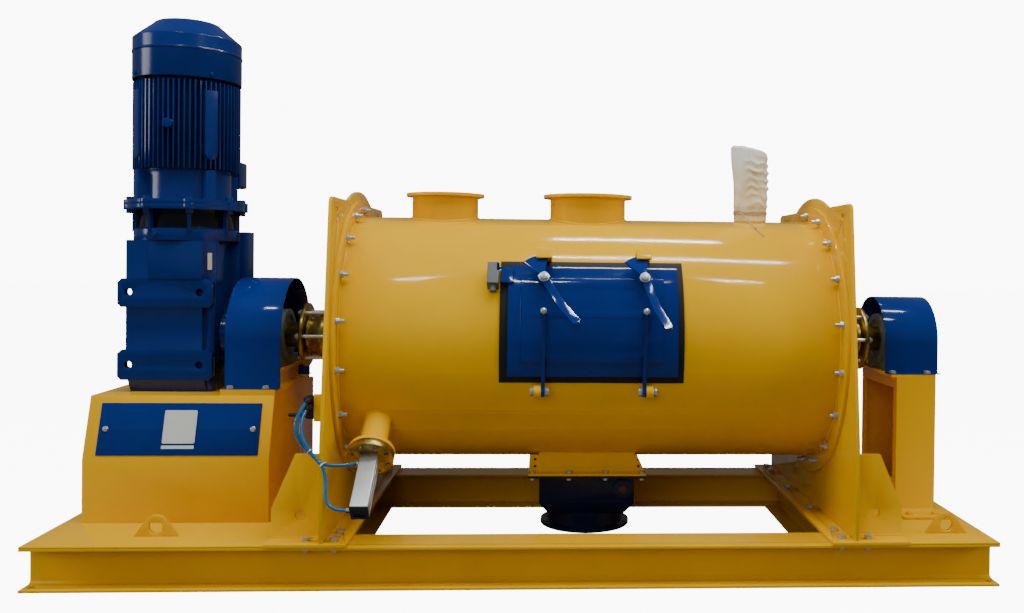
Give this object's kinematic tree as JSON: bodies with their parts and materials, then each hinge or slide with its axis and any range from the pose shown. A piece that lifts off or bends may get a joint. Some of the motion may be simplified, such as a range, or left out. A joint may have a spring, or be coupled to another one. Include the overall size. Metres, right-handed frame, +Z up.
{
  "type": "ploughshare mixer",
  "caption": "Horizontal drum mixer with ploughshare rotor, vertical geared motor, hinged side door, flanged inlets, sampler and bottom discharge on a beam base.",
  "frame": {"origin": "centre of the base frame on the floor, under the drum axis", "axes": "+X along the drum from the drive end, +Y away from the door side, +Z up"},
  "size_m": [3, 1.2139, 1.832],
  "materials": {
    "yellow_paint": "gloss yellow paint",
    "blue_paint": "gloss deep blue paint",
    "zinc_steel": "bright zinc plating",
    "gold_zinc": "yellow passivated zinc",
    "bare_steel": "machined steel",
    "grey_iron": "light grey casting paint",
    "aluminium": "anodised profile",
    "seal_rubber": "black rubber",
    "grey_plastic": "grey die cast box",
    "black_plastic": "black plastic",
    "hose_blue": "blue air hose",
    "sock_cloth": "cream filter cloth"
  },
  "bodies": {
    "machine": {"base_long_beams": "yellow_paint", "base_cross_beams": "yellow_paint", "deck_plates": "yellow_paint", "lifting_lugs": "yellow_paint", "drive_stand": "yellow_paint", "stand_cover": "blue_paint", "gearbox_housing": "blue_paint", "motor_adapter": "blue_paint", "motor_shield": "blue_paint", "motor_frame": "blue_paint", "terminal_box": "blue_paint", "motor_cowl": "blue_paint", "bearings": "grey_iron", "guard_left": "blue_paint", "guard_right": "blue_paint", "bearing_stand": "yellow_paint", "end_plate_left": "yellow_paint", "end_plate_right": "yellow_paint", "plate_feet": "yellow_paint", "drum_shell": "yellow_paint", "drum_rings": "yellow_paint", "flange_bolts": "zinc_steel", "foot_bolts": "zinc_steel", "inlet_left": "yellow_paint", "inlet_right": "yellow_paint", "vent_spigot": "yellow_paint", "filter_sock": "sock_cloth", "gland_housings": "gold_zinc", "gland_followers": "gold_zinc", "gland_studs": "zinc_steel", "door_seal": "seal_rubber", "hinge_lugs": "yellow_paint", "catch_blocks": "yellow_paint", "safety_switch": "grey_plastic", "sampler_tube": "yellow_paint", "sampler_flange": "gold_zinc", "sampler_cylinder": "aluminium", "valve_body": "black_plastic", "hose_upper": "hose_blue", "hose_lower": "hose_blue", "discharge_chute": "yellow_paint", "discharge_gasket": "seal_rubber", "discharge_housing": "blue_paint"},
    "rotor": {"main_shaft": "gold_zinc", "plough_arms": "bare_steel", "ploughshares": "bare_steel", "coupling_drive": "blue_paint", "coupling_driven": "blue_paint"},
    "fan": {"motor_shaft": "bare_steel", "motor_fan": "black_plastic"},
    "door": {"door_leaf": "blue_paint", "door_arms": "blue_paint", "door_fasteners": "zinc_steel", "switch_key": "blue_paint"},
    "left_clamp": {"clamp_left": "blue_paint"},
    "right_clamp": {"clamp_right": "blue_paint"},
    "plunger": {"sampler_plunger": "bare_steel"},
    "lever": {"valve_lever": "black_plastic"},
    "flap": {"discharge_flap": "bare_steel", "flap_shaft": "bare_steel"}
  },
  "joints": [
    {"name": "rotor_spin", "type": "hinge", "parent": "machine", "child": "rotor", "pos_m": [0, 0, 0.735], "axis": [1, 0, 0], "continuous": true},
    {"name": "fan_spin", "type": "hinge", "parent": "machine", "child": "fan", "pos_m": [-1.216, 0, 1.5], "axis": [0, 0, 1], "continuous": true},
    {"name": "door_swing", "type": "hinge", "parent": "machine", "child": "door", "pos_m": [0.219, -0.43749, 0.59285], "axis": [1, 0, 0], "range_deg": [0, 110]},
    {"name": "clamp_left_turn", "type": "hinge", "parent": "door", "child": "left_clamp", "pos_m": [0.057, -0.42793, 0.95682], "axis": [0, -0.8878, 0.4602], "range_deg": [0, 70]},
    {"name": "clamp_right_turn", "type": "hinge", "parent": "door", "child": "right_clamp", "pos_m": [0.38, -0.42793, 0.95682], "axis": [0, -0.8878, 0.4602], "range_deg": [0, 70]},
    {"name": "plunger_slide", "type": "slide", "parent": "machine", "child": "plunger", "axis": [0, -0.8039, -0.5948], "range_m": [0, 0.1]},
    {"name": "lever_tilt", "type": "hinge", "parent": "machine", "child": "lever", "pos_m": [-0.679, -0.466, 0.522], "axis": [0, 1, 0], "range_deg": [-20, 20]},
    {"name": "flap_swing", "type": "hinge", "parent": "machine", "child": "flap", "pos_m": [0.338, 0, 0.216], "axis": [0, -1, 0], "range_deg": [0, 45]}
  ],
  "couplings": [
    {"joint": "fan_spin", "follows": "rotor_spin", "ratio": 14}
  ]
}
